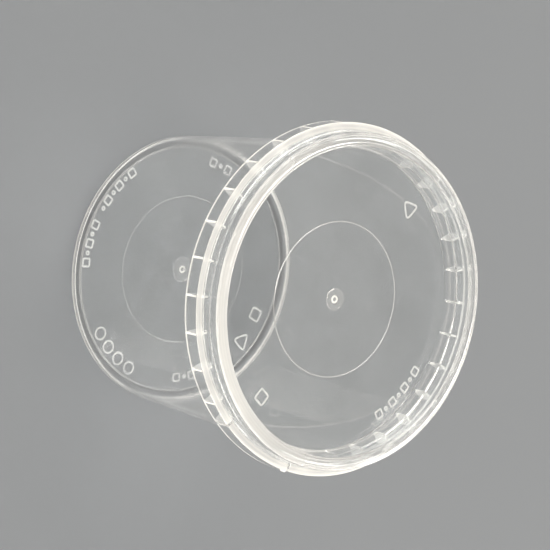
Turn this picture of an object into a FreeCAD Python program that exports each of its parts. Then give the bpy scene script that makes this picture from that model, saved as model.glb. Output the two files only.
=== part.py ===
"""Tamper-evident container: a clear round tub and the lid that snaps down inside its flange.

The lid's edge sits low inside a stiff flange, so nothing can be hooked under it. A segment of
the flange and its skirt is a tear tab, held only by thin bridges: once it is broken off, the
edge of the lid is free there and the lid lifts.

Frame: the container stands on its foot ring with +Z up. The origin is the centre of the circle
that it stands on, and +X points through the middle of the tear tab. Lengths are millimetres
and angles are degrees.
"""

import FreeCAD
import Part
import Sketcher

import os
import re

PARTS_FOLDER = "parts"
SAME = 1e-5
DEGREES_PER_RADIAN = 57.29578

SIZES = (
    ("lid_diameter", 95.1, "outer diameter of the lid at its top, by which the family is known"),
    ("body_height", 69.0, "height of the shoulder, and of the skirt's free edge"),
    # Radii, from the lid's top edge inwards and outwards
    ("lip_room", 0.45, "room between the snap lip and the lid's outer wall"),
    ("lip_out", 0.7, "how far the snap lip stands out from the neck"),
    ("neck_flare", 0.4, "how much wider the neck is at the rim than at its foot"),
    ("shoulder_step", 0.8, "how far the neck stands out from the wall below the shoulder"),
    ("wall_taper", 4.0, "how much narrower the wall is at the standing surface"),
    ("flange_ledge", 2.45, "how far the flange reaches past the lid's top edge"),
    # Heights above the shoulder, and the walls of the tub
    ("shoulder_rise", 0.9, "height over which the shoulder steps out"),
    ("skirt_deep", 5.3, "depth of the skirt, down from the flange's upper face"),
    ("neck_high", 4.8, "height of the rim above the flange"),
    ("lip_deep", 1.3, "height of the snap lip's upright face"),
    ("lip_lead", 0.4, "bevel that leads the lid's bead over the snap lip"),
    ("wall_thick", 0.75, "thickness of the tapered wall"),
    ("neck_wall", 0.75, "thickness of the neck"),
    ("flange_thick", 0.8, "thickness of the flange"),
    ("skirt_wall", 0.7, "thickness of the skirt that hangs from the flange"),
    # Base
    ("heel_bevel", 1.9, "bevel from the foot ring up into the wall"),
    ("foot_width", 1.6, "width of the foot ring's flat"),
    ("foot_height", 0.8, "height of the base's underside above the standing surface"),
    ("base_thick", 0.9, "thickness of the base"),
    ("floor_bevel", 1.0, "bevel between the floor and the wall inside"),
    # Ribs and tear tab
    ("rib_thick", 0.6, "thickness of a rib"),
    ("rib_stations", 30, "evenly spaced places for ribs all the way round"),
    ("tab_stations", 3, "places that hold no rib, because the tear tab is there"),
    ("tab_half_angle", 15.0, "angle from the middle of the tear tab to its end slot"),
    ("end_slot_width", 0.6, "width of the slot at each end of the tear tab"),
    ("end_wall_thick", 0.8, "thickness of the wall that backs the end slot"),
    ("score_out", 0.9, "how far from the neck the tab is parted from the flange"),
    ("score_width", 0.7, "width of the slots that part it"),
    ("score_arcs", 3, "number of those slots along the tab"),
    ("bridge_angle", 0.7, "width, as an angle, of a bridge between two of those slots"),
    ("bridge_height", 0.7, "height of the bridge left at the skirt's free edge"),
    ("grip_out", 0.5, "how far the finger edge stands out from the tab"),
    ("grip_width", 1.8, "width of the finger edge"),
    ("grip_angle", 1.8, "angle from the end slot back to the middle of the finger edge"),
    # Lid
    ("lid_flare", 0.65, "how much wider in radius the lid is at its lower edge"),
    ("lid_wall", 0.8, "thickness of the lid's outer wall"),
    ("lid_top_thick", 0.9, "thickness of the lid over the rim"),
    ("lid_top_bevel", 0.7, "bevel along both edges of the lid's top"),
    ("seat_gap", 0.2, "clearance between the lid's lower edge and the flange"),
    ("rim_gap", 0.3, "clearance between the lid and the top of the rim"),
    ("plug_gap", 0.25, "clearance between the lid's plug wall and the neck"),
    ("plug_wall", 0.85, "thickness of the plug wall"),
    ("plug_lead", 0.4, "bevel that leads the plug into the neck"),
    ("panel_drop", 7.8, "depth of the lid's panel below its top"),
    ("panel_thick", 0.9, "thickness of the lid's panel"),
    ("snap_gap", 0.2, "clearance between the lid's bead and the snap lip as they pass"),
    ("bead_drop", 0.8, "how far the bead lies below the snap lip's root"),
    ("bead_half", 0.6, "half the height of the bead"),
    # Mark of the moulding gate, on the panel and on the base
    ("panel_dimple", 3.2, "radius of the dimple round the gate on the panel"),
    ("base_dimple", 3.9, "radius of the dimple round the gate under the base"),
    ("dimple_deep", 0.3, "depth of that dimple"),
    ("gate_radius", 1.1, "outer radius of the ring that the gate leaves"),
    ("gate_ring_wall", 0.4, "width of that ring"),
    ("gate_high", 0.2, "height of that ring"),
)

# Radii that several outlines share, as formulas of the sizes
LID_EDGE = "(lid_diameter / 2)"
LIP_RADIUS = f"({LID_EDGE} - lid_wall - lip_room)"
RIM_RADIUS = f"({LIP_RADIUS} - lip_out)"
NECK_RADIUS = f"({RIM_RADIUS} - neck_flare)"
SHOULDER_RADIUS = f"({NECK_RADIUS} - shoulder_step)"
BASE_RADIUS = f"({SHOULDER_RADIUS} - wall_taper)"
FOOT_INNER_RADIUS = f"({BASE_RADIUS} - heel_bevel - foot_width)"
FLANGE_RADIUS = f"({LID_EDGE} + flange_ledge)"
SCORE_RADIUS = f"({NECK_RADIUS} + score_out)"

# Heights that several outlines share
FLOOR = "(foot_height + base_thick)"
SHOULDER_TOP = "(body_height + shoulder_rise)"
FLANGE_TOP = "(body_height + skirt_deep)"
FLANGE_UNDER = f"({FLANGE_TOP} - flange_thick)"
FLANGE_MIDDLE = f"({FLANGE_TOP} - flange_thick / 2)"
RIM = f"({FLANGE_TOP} + neck_high)"
LIP_LOW = f"({RIM} - lip_deep)"
LIP_ROOT = f"({LIP_LOW} - lip_out)"
BEAD = f"({LIP_ROOT} - bead_drop)"
LID_FOOT = f"({FLANGE_TOP} + seat_gap)"
LID_CEILING = f"({RIM} + rim_gap)"
LID_TOP = f"({LID_CEILING} + lid_top_thick)"
PANEL = f"({LID_TOP} - panel_drop)"
PANEL_UNDER = f"({PANEL} - panel_thick)"

# Angles that several features share
RIB_PITCH = "(360 / rib_stations)"
SCORE_ARC = "((2 * tab_half_angle - (score_arcs - 1) * bridge_angle) / score_arcs)"
END_WALL_OFFSET = f"((end_slot_width + end_wall_thick) / 2 / {FLANGE_RADIUS} * {DEGREES_PER_RADIAN})"

doc = FreeCAD.newDocument("tamper_evident_container")
sheet = doc.addObject("Spreadsheet::Sheet", "sizes")


def fill_sheet():
    """Write each size with its name and its meaning on a row of the sheet."""
    for row, (name, value, meaning) in enumerate(SIZES, 1):
        sheet.set(f"A{row}", name)
        sheet.set(f"B{row}", str(value))
        sheet.setAlias(f"B{row}", name)
        sheet.set(f"C{row}", meaning)
    doc.recompute()


def bind(thing, place, formula):
    """Tie one property of an object to a formula of the sizes' names."""
    thing.setExpression(place, re.sub(r"[a-z_]+", lambda name: "sizes." + name.group(), formula))


def neck_inside(height):
    """Radius of the neck's inner face at a height."""
    return f"({NECK_RADIUS} - neck_wall + neck_flare * ({height} - {FLANGE_TOP}) / neck_high)"


def wall_outside(height):
    """Radius of the tapered wall's outer face at a height."""
    return f"({BASE_RADIUS} + wall_taper * {height} / body_height)"


def datum(body, role):
    """One of the body's own base planes or axes."""
    return next(item for item in body.Origin.OriginFeatures if item.Role == role)


def outline(body, name, corners, turn="0"):
    """A closed outline in an upright plane through the axis.

    corners maps a corner's name to its radius and height. turn is the angle of the plane
    about +Z, counted from +X.
    """
    sketch = body.newObject("Sketcher::SketchObject", name)
    sketch.AttachmentSupport = [(datum(body, "XZ_Plane"), "")]
    sketch.MapMode = "FlatFace"
    sketch.AttachmentOffset = FreeCAD.Placement(
        FreeCAD.Vector(), FreeCAD.Rotation(FreeCAD.Vector(0, 1, 0), 1))
    bind(sketch, "AttachmentOffset.Rotation.Angle", turn)
    count = len(corners)
    # The corners start on a circle, and the bound distances move them to their places
    start = [FreeCAD.Rotation(FreeCAD.Vector(0, 0, 1), 360 * i / count).multVec(FreeCAD.Vector(1, 0, 0))
             for i in range(count)]
    for i in range(count):
        sketch.addGeometry(Part.LineSegment(start[i], start[(i + 1) % count]), False)
    for i in range(count):
        sketch.addConstraint(Sketcher.Constraint("Coincident", i, 2, (i + 1) % count, 1))
    for i, (corner, (radius, height)) in enumerate(corners.items()):
        for kind, tag, formula in (("DistanceX", "radius", radius), ("DistanceY", "height", height)):
            index = sketch.addConstraint(Sketcher.Constraint(kind, -1, 1, i, 1, 1.0))
            sketch.renameConstraint(index, f"{corner}_{tag}")
            bind(sketch, f"Constraints.{corner}_{tag}", formula)
    doc.recompute()
    return sketch


def revolved(body, kind, name, sketch, sweep="360"):
    """Turn an outline about the container's axis, to add it or to cut it away."""
    feature = body.newObject(f"PartDesign::{kind}", name)
    feature.Profile = sketch
    feature.ReferenceAxis = (datum(body, "Z_Axis"), [""])
    bind(feature, "Angle", sweep)
    doc.recompute()
    return feature


def plate(body, kind, name, sketch, thickness):
    """Give an upright outline a thickness to both sides, to add it or to cut it away."""
    feature = body.newObject(f"PartDesign::{kind}", name)
    feature.Profile = sketch
    feature.SideType = "Symmetric"
    bind(feature, "Length", thickness)
    doc.recompute()
    return feature


def mirrored(body, name, feature):
    """Repeat a feature on the other side of the plane through the middle of the tab."""
    mirror = body.newObject("PartDesign::Mirrored", name)
    mirror.Originals = [feature]
    mirror.MirrorPlane = (datum(body, "XZ_Plane"), [""])
    body.Tip = mirror
    doc.recompute()
    return mirror


def repeated(body, name, feature, count, sweep):
    """Repeat a feature round the axis, over a sweep from the first to the last."""
    pattern = body.newObject("PartDesign::PolarPattern", name)
    pattern.Originals = [feature]
    pattern.Axis = (datum(body, "Z_Axis"), [""])
    pattern.Mode = "Extent"
    bind(pattern, "Angle", sweep)
    bind(pattern, "Occurrences", count)
    body.Tip = pattern
    doc.recompute()
    return pattern


def circle_at(base, sketch, corner):
    """Names of the circular edges that one corner of an outline makes."""
    place = {constraint.Name: constraint.Value for constraint in sketch.Constraints}
    names = []
    for number, edge in enumerate(base.Shape.Edges, 1):
        if (isinstance(edge.Curve, Part.Circle)
                and abs(edge.Curve.Radius - place[f"{corner}_radius"]) < SAME
                and abs(edge.Curve.Center.z - place[f"{corner}_height"]) < SAME):
            names.append(f"Edge{number}")
    return names


def bevelled(body, name, sketch, corners, size):
    """Bevel the circular edges that the named corners of an outline make."""
    base = body.Tip
    feature = body.newObject("PartDesign::Chamfer", name)
    feature.Base = (base, [edge for corner in corners for edge in circle_at(base, sketch, corner)])
    bind(feature, "Size", size)
    doc.recompute()
    return feature


def gate_mark(body, face, into, radius):
    """The gate's dimple in a flat face, with the small ring that it leaves.

    face is the height of the face, into is + or -, the way into the plastic, and radius is
    that of the dimple.
    """
    out = "-" if into == "+" else "+"
    bottom = f"{face} {into} dimple_deep"
    dimple = outline(body, "dimple_outline", {
        "middle_low": ("0", bottom),
        "floor_edge": (f"{radius} - dimple_deep", bottom),
        "brim": (f"{radius} + dimple_deep", f"{face} {out} dimple_deep"),
        "middle_high": ("0", f"{face} {out} dimple_deep"),
    })
    revolved(body, "Groove", "gate_dimple", dimple)
    ring = outline(body, "gate_outline", {
        "foot_in": ("gate_radius - gate_ring_wall", f"{bottom} {into} gate_high"),
        "foot_out": ("gate_radius", f"{bottom} {into} gate_high"),
        "top_out": ("gate_radius", f"{bottom} {out} gate_high"),
        "top_in": ("gate_radius - gate_ring_wall", f"{bottom} {out} gate_high"),
    })
    revolved(body, "Revolution", "gate_ring", ring)


def make_tub():
    """The tub: base, tapered wall, neck with its snap lip, flange and hanging skirt."""
    body = doc.addObject("PartDesign::Body", "tub")
    body.Label = "tub"
    section = outline(body, "tub_section", {
        "under_middle": ("0", "foot_height"),
        "foot_root": (FOOT_INNER_RADIUS, "foot_height"),
        "foot": (FOOT_INNER_RADIUS, "0"),
        "heel": (BASE_RADIUS, "0"),
        "shoulder_low": (SHOULDER_RADIUS, "body_height"),
        "shoulder_high": (NECK_RADIUS, SHOULDER_TOP),
        "flange_pit": (NECK_RADIUS, FLANGE_UNDER),
        "skirt_root": (f"{FLANGE_RADIUS} - skirt_wall", FLANGE_UNDER),
        "skirt_inside": (f"{FLANGE_RADIUS} - skirt_wall", "body_height"),
        "skirt_edge": (FLANGE_RADIUS, "body_height"),
        "flange_edge": (FLANGE_RADIUS, FLANGE_TOP),
        "neck_foot": (NECK_RADIUS, FLANGE_TOP),
        "lip_root": (f"{neck_inside(LIP_ROOT)} + neck_wall", LIP_ROOT),
        "lip_low": (LIP_RADIUS, LIP_LOW),
        "lip_top": (LIP_RADIUS, RIM),
        "mouth": (f"{RIM_RADIUS} - neck_wall", RIM),
        "neck_inside_foot": (f"{NECK_RADIUS} - neck_wall", SHOULDER_TOP),
        "shoulder_inside": (f"{SHOULDER_RADIUS} - wall_thick", "body_height"),
        "floor_edge": (f"{wall_outside(FLOOR)} - wall_thick", FLOOR),
        "floor_middle": ("0", FLOOR),
    })
    revolved(body, "Revolution", "tub_shell", section)
    bevelled(body, "heel_chamfer", section, ["heel"], "heel_bevel")
    bevelled(body, "floor_chamfer", section, ["floor_edge"], "floor_bevel")
    bevelled(body, "lip_chamfer", section, ["lip_top"], "lip_lead")
    add_ribs(body)
    part_tear_tab(body)
    gate_mark(body, "foot_height", "+", "base_dimple")
    return body


def rib_outline(body, name, turn):
    """A rib's face: it fills the channel between the neck, the flange and the skirt."""
    return outline(body, name, {
        "shoulder_foot": (f"{SHOULDER_RADIUS} - wall_thick / 2", "body_height"),
        "skirt_foot": (f"{FLANGE_RADIUS} - skirt_wall / 2", "body_height"),
        "skirt_top": (f"{FLANGE_RADIUS} - skirt_wall / 2", FLANGE_MIDDLE),
        "neck_top": (f"{NECK_RADIUS} - neck_wall / 2", FLANGE_MIDDLE),
        "neck_low": (f"{NECK_RADIUS} - neck_wall / 2", SHOULDER_TOP),
    }, turn)


def add_ribs(body):
    """Thin radial ribs under the flange, evenly spaced, with none inside the tear tab."""
    face = rib_outline(body, "rib_face", f"{RIB_PITCH} * (tab_stations + 1) / 2")
    rib = plate(body, "Pad", "first_rib", face, "rib_thick")
    repeated(body, "ribs", rib, "rib_stations - tab_stations",
             f"{RIB_PITCH} * (rib_stations - tab_stations - 1)")


def part_tear_tab(body):
    """Part a segment of flange and skirt from the rest, so that only thin bridges hold it."""
    wall_face = rib_outline(body, "end_wall_face", f"tab_half_angle + {END_WALL_OFFSET}")
    end_wall = plate(body, "Pad", "end_wall", wall_face, "end_wall_thick")
    mirrored(body, "end_walls", end_wall)

    grip_face = outline(body, "grip_face", {
        "low_in": (f"{FLANGE_RADIUS} - skirt_wall / 2", FLANGE_UNDER),
        "low_out": (FLANGE_RADIUS, FLANGE_UNDER),
        "high_out": (f"{FLANGE_RADIUS} + grip_out", f"{FLANGE_UNDER} + flange_thick / 2"),
        "top_out": (f"{FLANGE_RADIUS} + grip_out", FLANGE_TOP),
        "top_in": (f"{FLANGE_RADIUS} - skirt_wall", FLANGE_TOP),
    }, "tab_half_angle - grip_angle")
    plate(body, "Pad", "finger_edge", grip_face, "grip_width")

    slot_face = outline(body, "end_slot_face", {
        "low_in": (SCORE_RADIUS, "body_height + bridge_height"),
        "low_out": (f"{FLANGE_RADIUS} + 2 * grip_out", "body_height + bridge_height"),
        "high_out": (f"{FLANGE_RADIUS} + 2 * grip_out", f"{FLANGE_TOP} + flange_thick"),
        "high_in": (SCORE_RADIUS, f"{FLANGE_TOP} + flange_thick"),
    }, "tab_half_angle")
    end_slot = plate(body, "Pocket", "end_slot", slot_face, "end_slot_width")
    mirrored(body, "end_slots", end_slot)

    score_face = outline(body, "score_face", {
        "low_in": (SCORE_RADIUS, f"{FLANGE_UNDER} - flange_thick"),
        "low_out": (f"{SCORE_RADIUS} + score_width", f"{FLANGE_UNDER} - flange_thick"),
        "high_out": (f"{SCORE_RADIUS} + score_width", f"{FLANGE_TOP} + flange_thick"),
        "high_in": (SCORE_RADIUS, f"{FLANGE_TOP} + flange_thick"),
    }, "-tab_half_angle")
    score = revolved(body, "Groove", "score", score_face, SCORE_ARC)
    repeated(body, "scores", score, "score_arcs", f"({SCORE_ARC} + bridge_angle) * (score_arcs - 1)")


def make_lid():
    """The lid: a sunk panel, the plug wall round it, the top over the rim and the outer wall."""
    body = doc.addObject("PartDesign::Body", "lid")
    body.Label = "lid"
    section = outline(body, "lid_section", {
        "under_middle": ("0", PANEL_UNDER),
        "plug_low": (f"{neck_inside(PANEL_UNDER)} - plug_gap", PANEL_UNDER),
        "plug_high": (f"{neck_inside(LID_CEILING)} - plug_gap", LID_CEILING),
        "ceiling": (f"{LID_EDGE} - lid_wall", LID_CEILING),
        "edge_inside": (f"{LID_EDGE} + lid_flare - lid_wall", LID_FOOT),
        "edge_outside": (f"{LID_EDGE} + lid_flare", LID_FOOT),
        "top_outside": (LID_EDGE, LID_TOP),
        "top_inside": (f"{neck_inside(LID_CEILING)} - plug_gap - plug_wall", LID_TOP),
        "panel_corner": (f"{neck_inside(PANEL)} - plug_gap - plug_wall", PANEL),
        "panel_middle": ("0", PANEL),
    })
    revolved(body, "Revolution", "lid_shell", section)
    bevelled(body, "top_chamfers", section, ["top_outside", "top_inside"], "lid_top_bevel")
    bevelled(body, "plug_chamfer", section, ["plug_low"], "plug_lead")

    wall_middle = f"{LID_EDGE} + (lid_flare - lid_wall) / 2"
    bead = outline(body, "bead_outline", {
        "tip": (f"{LIP_RADIUS} + snap_gap", BEAD),
        "low": (wall_middle, f"{BEAD} - bead_half"),
        "high": (wall_middle, f"{BEAD} + bead_half"),
    })
    revolved(body, "Revolution", "snap_bead", bead)
    gate_mark(body, PANEL, "-", "panel_dimple")
    return body


def check_document():
    """Stop if any object of the document failed."""
    doc.recompute()
    for item in doc.Objects:
        if "Invalid" in item.State or "Error" in item.State:
            raise RuntimeError(f"{item.Name} is in state {item.State}")


def write_part(body):
    """Test one finished sub-part and write its file."""
    shape = body.Shape
    if shape.isNull() or not shape.isValid() or len(shape.Solids) != 1 or shape.Volume <= 0:
        raise RuntimeError(f"{body.Label} has no sound single solid")
    shape.exportStep(os.path.join(PARTS_FOLDER, body.Label + ".step"))
    print(body.Label, "volume", round(shape.Volume, 1), "faces", len(shape.Faces))


fill_sheet()
bodies = [make_tub(), make_lid()]
check_document()
os.makedirs(PARTS_FOLDER, exist_ok=True)
for finished in bodies:
    write_part(finished)
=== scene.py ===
"""Dresses the tamper-evident container: clear moulded plastic, relief marks, floor, light, camera.

The container stands on its foot ring at the origin, +Z up and +X through the middle of the tear
tab, in metres. Every shape here is turned about the Z axis from an outline of (radius, height)
corners, so the outlines carry the design and one function makes the surfaces.
"""

import math

import bpy
import numpy as np
from bpy.props import FloatProperty, FloatVectorProperty, PointerProperty
from mathutils import Matrix, Vector


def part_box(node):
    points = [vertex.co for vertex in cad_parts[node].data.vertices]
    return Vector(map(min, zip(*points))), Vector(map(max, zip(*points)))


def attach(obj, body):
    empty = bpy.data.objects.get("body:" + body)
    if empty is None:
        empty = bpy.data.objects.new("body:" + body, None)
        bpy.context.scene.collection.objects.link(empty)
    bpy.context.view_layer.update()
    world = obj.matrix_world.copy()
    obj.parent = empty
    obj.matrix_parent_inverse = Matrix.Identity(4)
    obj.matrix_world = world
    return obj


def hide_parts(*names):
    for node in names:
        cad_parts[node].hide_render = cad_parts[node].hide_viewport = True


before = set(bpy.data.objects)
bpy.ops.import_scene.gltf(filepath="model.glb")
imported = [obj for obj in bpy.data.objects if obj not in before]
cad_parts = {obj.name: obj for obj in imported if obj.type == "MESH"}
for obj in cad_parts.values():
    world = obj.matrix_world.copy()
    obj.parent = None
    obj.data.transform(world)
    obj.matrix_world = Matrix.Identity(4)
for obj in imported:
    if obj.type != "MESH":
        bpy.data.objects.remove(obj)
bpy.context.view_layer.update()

bl_info = {
    "name": "Tamper-evident container",
    "version": (1, 0, 0),
    "blender": (4, 5, 0),
    "location": "View3D > Sidebar > Container",
    "description": "Builds a clear snap-lid container with a tear tab, and its studio stage",
    "category": "Add Mesh",
}

MM = 0.001
TUB_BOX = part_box("tub")
LID_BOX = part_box("lid")

# Driving dimensions, read from the frame
FLANGE_RADIUS = min(TUB_BOX[1][0], TUB_BOX[1][1])
RIM_HEIGHT = TUB_BOX[1][2]
LID_TOP = LID_BOX[1][2]
LID_FOOT_RADIUS = min(LID_BOX[1][0], LID_BOX[1][1])

# Radii and heights that the outlines share
NECK_RADIUS = FLANGE_RADIUS - 4.8 * MM
NECK_FLARE = 0.4 * MM
SHOULDER_RADIUS = NECK_RADIUS - 0.8 * MM
WALL_TAPER = 4.0 * MM
BASE_RADIUS = SHOULDER_RADIUS - WALL_TAPER
FLANGE_TOP = RIM_HEIGHT - 4.8 * MM
SKIRT_FOOT = FLANGE_TOP - 5.3 * MM
SHOULDER_TOP = SKIRT_FOOT + 0.9 * MM
LIP_RADIUS = NECK_RADIUS + 1.1 * MM
FOOT_HEIGHT = 0.8 * MM
FOOT_RING = 1.6 * MM
CEILING = RIM_HEIGHT + 0.3 * MM
LID_FOOT = FLANGE_TOP + 0.2 * MM
PANEL = LID_TOP - 7.8 * MM
SCORE_RADIUS = NECK_RADIUS + 0.9 * MM
SCORE_WIDTH = 0.7 * MM
BEAD_HEIGHT = RIM_HEIGHT - 2.8 * MM
GATE_RADIUS = 1.15 * MM
PANEL_DIMPLE = 3.2 * MM
BASE_DIMPLE = 3.9 * MM
PLUG_GAP = 0.25 * MM

# Where the painted glow on the skirt's foot ends, and where the flange's ledge outside the lid begins
FOOT_LINE = SKIRT_FOOT + 0.3 * MM
LEDGE_RADIUS = LID_FOOT_RADIUS - 0.1 * MM

# Side on which the lid's top is painted whitest, a painted highlight on one side, and how dim a mirrored
# ray sees the surround
PAINTED_LIGHT_SIDE = math.radians(-50.0)
MIRRORED_SHARE = 0.35
WARM_WHITE = (1.0, 0.955, 0.885)

# Steps of a rounding, the angle at which shading breaks, and angles of columns and ribs in degrees
ROUNDING_STEPS = 4
SHARP_ANGLE = math.radians(32)
COLUMN_STEP = 1.0
RIB_PITCH = 12.0
FIRST_RIB = 18.0

# Painted glow of thin edges, from 0 for clear plastic to 1 for painted bright white
BRIGHT = 0.9
STRONG = 0.8
SEAM = 0.75
LIT = 0.6
MILD = 0.35
SOFT = 0.3
DIM = 0.15
FAINT = 0.12


class ContainerSizes(bpy.types.PropertyGroup):
    """Thicknesses and details of the two mouldings."""

    wall: FloatProperty(
        name="Tub wall", description="Thickness of the tub's wall and neck",
        default=0.75 * MM, min=0.3 * MM, max=1.5 * MM, unit="LENGTH")
    base: FloatProperty(
        name="Base", description="Thickness of the tub's base",
        default=0.9 * MM, min=0.4 * MM, max=2.0 * MM, unit="LENGTH")
    flange: FloatProperty(
        name="Flange", description="Thickness of the flange",
        default=0.8 * MM, min=0.4 * MM, max=1.5 * MM, unit="LENGTH")
    skirt: FloatProperty(
        name="Skirt", description="Thickness of the skirt that hangs from the flange",
        default=0.7 * MM, min=0.4 * MM, max=1.5 * MM, unit="LENGTH")
    heel: FloatProperty(
        name="Heel", description="Size of the rounding from the foot ring into the wall",
        default=1.9 * MM, min=0.5 * MM, max=3.0 * MM, unit="LENGTH")
    rib_edge: FloatProperty(
        name="Rib edge", description="Thickness of a rib at its free edge",
        default=0.5 * MM, min=0.2 * MM, max=1.0 * MM, unit="LENGTH")
    rib_root: FloatProperty(
        name="Rib root", description="Thickness of a rib where it meets the flange",
        default=0.7 * MM, min=0.3 * MM, max=1.5 * MM, unit="LENGTH")
    tab_half_angle: FloatProperty(
        name="Tab half angle", description="Angle from the middle of the tear tab to its end slot",
        default=math.radians(15.0), min=math.radians(13.0), max=math.radians(17.0),
        subtype="ANGLE")
    slot: FloatProperty(
        name="End slot", description="Width of the slot at each end of the tear tab",
        default=0.6 * MM, min=0.3 * MM, max=1.0 * MM, unit="LENGTH")
    plug: FloatProperty(
        name="Lid plug wall", description="Thickness of the lid's plug wall",
        default=0.85 * MM, min=0.4 * MM, max=1.5 * MM, unit="LENGTH")
    lid_wall: FloatProperty(
        name="Lid outer wall", description="Thickness of the lid's outer wall",
        default=0.8 * MM, min=0.4 * MM, max=1.2 * MM, unit="LENGTH")
    panel: FloatProperty(
        name="Lid panel", description="Thickness of the lid's sunk panel",
        default=0.9 * MM, min=0.4 * MM, max=1.4 * MM, unit="LENGTH")
    fine_circle: FloatProperty(
        name="Fine circle", description="Radius of the fine circle in the panel and the base",
        default=22.0 * MM, min=10.0 * MM, max=30.0 * MM, unit="LENGTH")
    relief: FloatProperty(
        name="Relief", description="Height of the raised marks",
        default=0.18 * MM, min=0.05 * MM, max=0.4 * MM, unit="LENGTH")
    stroke: FloatProperty(
        name="Stroke", description="Width of the raised marks' strokes",
        default=0.6 * MM, min=0.3 * MM, max=1.0 * MM, unit="LENGTH")


class ContainerFinish(bpy.types.PropertyGroup):
    """Looks of the clear plastic and of its relief marks."""

    tint: FloatVectorProperty(
        name="Tint", description="Colour that the clear plastic gives to light",
        default=(0.955, 0.965, 0.97), min=0.0, max=1.0, size=3, subtype="COLOR")
    milk: FloatVectorProperty(
        name="Milk", description="Colour of the plastic where it is cloudy",
        default=(0.90, 0.91, 0.915), min=0.0, max=1.0, size=3, subtype="COLOR")
    clearness: FloatProperty(
        name="Clearness", description="Share of the light that passes through a surface",
        default=0.985, min=0.5, max=1.0, subtype="FACTOR")
    cloudiness: FloatProperty(
        name="Cloudiness", description="Light scattered in the plastic, per metre of its thickness",
        default=50.0, min=0.0, max=500.0)
    # Painted glow: the white given to thin edges in place of the light they gather
    painted_glow_colour: FloatVectorProperty(
        name="Edges", description="Colour of the thin edges that gather light",
        default=(0.97, 0.955, 0.915), min=0.0, max=1.0, size=3, subtype="COLOR")
    mark_colour: FloatVectorProperty(
        name="Marks", description="Colour of the frosted relief marks",
        default=(0.93, 0.935, 0.93), min=0.0, max=1.0, size=3, subtype="COLOR")


class ContainerStage(bpy.types.PropertyGroup):
    """Floor, light and camera."""

    floor_colour: FloatVectorProperty(
        name="Floor", description="Colour of the plain floor",
        default=(0.200, 0.212, 0.228), min=0.0, max=1.0, size=3, subtype="COLOR")
    light: FloatProperty(
        name="Light", description="Brightness of the soft lights",
        default=1.0, min=0.0, max=10.0)
    surround: FloatProperty(
        name="Surround", description="Brightness of the studio all round",
        default=6.0, min=0.0, max=20.0)
    heading: FloatProperty(
        name="Heading", description="Compass angle that the camera looks along, from +X",
        default=math.radians(113.0), subtype="ANGLE")
    pitch: FloatProperty(
        name="Pitch", description="Angle of the camera's view above the horizon",
        default=math.radians(-50.69), subtype="ANGLE")
    roll: FloatProperty(
        name="Roll", description="Angle by which the camera is turned about its view",
        default=math.radians(100.82), subtype="ANGLE")
    distance: FloatProperty(
        name="Distance", description="Distance from the camera to the point it looks at",
        default=0.8229, min=0.1, unit="LENGTH")
    look_at: FloatVectorProperty(
        name="Look at", description="Point that the camera looks at",
        default=(-4.68 * MM, 1.9 * MM, 40.0 * MM), size=3, subtype="TRANSLATION")
    lens: FloatProperty(
        name="Lens", description="Focal length on a 36 mm sensor",
        default=185.6, min=10.0)


# Surfaces


def corner_normals(mesh):
    """Normals that keep flat faces flat beside their roundings.

    At each corner of a face it is the sum of area * normal over the faces round that vertex that
    lean less than SHARP_ANGLE from the face itself, so a large flat face outweighs the narrow
    faces of its rounding, and clear plastic shows no false lens there.
    """
    faces, loops = len(mesh.polygons), len(mesh.loops)
    normal, area = np.empty(3 * faces), np.empty(faces)
    totals, vertex = np.empty(faces, np.int32), np.empty(loops, np.int32)
    mesh.polygons.foreach_get("normal", normal)
    mesh.polygons.foreach_get("area", area)
    mesh.polygons.foreach_get("loop_total", totals)
    mesh.loops.foreach_get("vertex_index", vertex)
    normal = normal.reshape(-1, 3)
    face = np.repeat(np.arange(faces), totals)
    order = np.argsort(vertex, kind="stable")
    first = np.searchsorted(vertex[order], vertex)
    degree = np.bincount(vertex)[vertex]
    total = np.zeros((loops, 3))
    for step in range(degree.max()):
        here = np.flatnonzero(step < degree)
        other = face[order[first[here] + step]]
        alike = np.einsum("ij,ij->i", normal[face[here]], normal[other]) > math.cos(SHARP_ANGLE)
        total[here] += (area[other] * alike)[:, None] * normal[other]
    return total / np.linalg.norm(total, axis=1, keepdims=True)


def make_mesh(name, points, polygons):
    """Put points and polygons into a new object.

    polygons is a list of arrays of corner numbers, one row for each polygon. The sum of
    p0 . (p1 x p2) over fans of the faces is six times the volume inside, so where it comes out
    negative the faces point inwards and are turned round.
    """
    volume = sum(
        np.einsum("ij,ij->", points[block[:, 0]],
                  np.cross(points[block[:, k]], points[block[:, k + 1]]))
        for block in polygons for k in range(1, block.shape[1] - 1))
    if volume < 0:
        polygons = [block[:, ::-1] for block in polygons]
    corners = np.concatenate([block.ravel() for block in polygons])
    totals = np.concatenate([np.full(len(block), block.shape[1]) for block in polygons])
    mesh = bpy.data.meshes.new(name)
    mesh.vertices.add(len(points))
    mesh.vertices.foreach_set("co", points.astype(np.float32).ravel())
    mesh.loops.add(len(corners))
    mesh.loops.foreach_set("vertex_index", corners.astype(np.int32))
    mesh.polygons.add(len(totals))
    mesh.polygons.foreach_set("loop_start", (np.cumsum(totals) - totals).astype(np.int32))
    mesh.update(calc_edges=True)
    mesh.validate()
    mesh.shade_smooth()
    mesh.normals_split_custom_set(corner_normals(mesh))
    piece = bpy.data.objects.new(name, mesh)
    bpy.context.scene.collection.objects.link(piece)
    return piece


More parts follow.
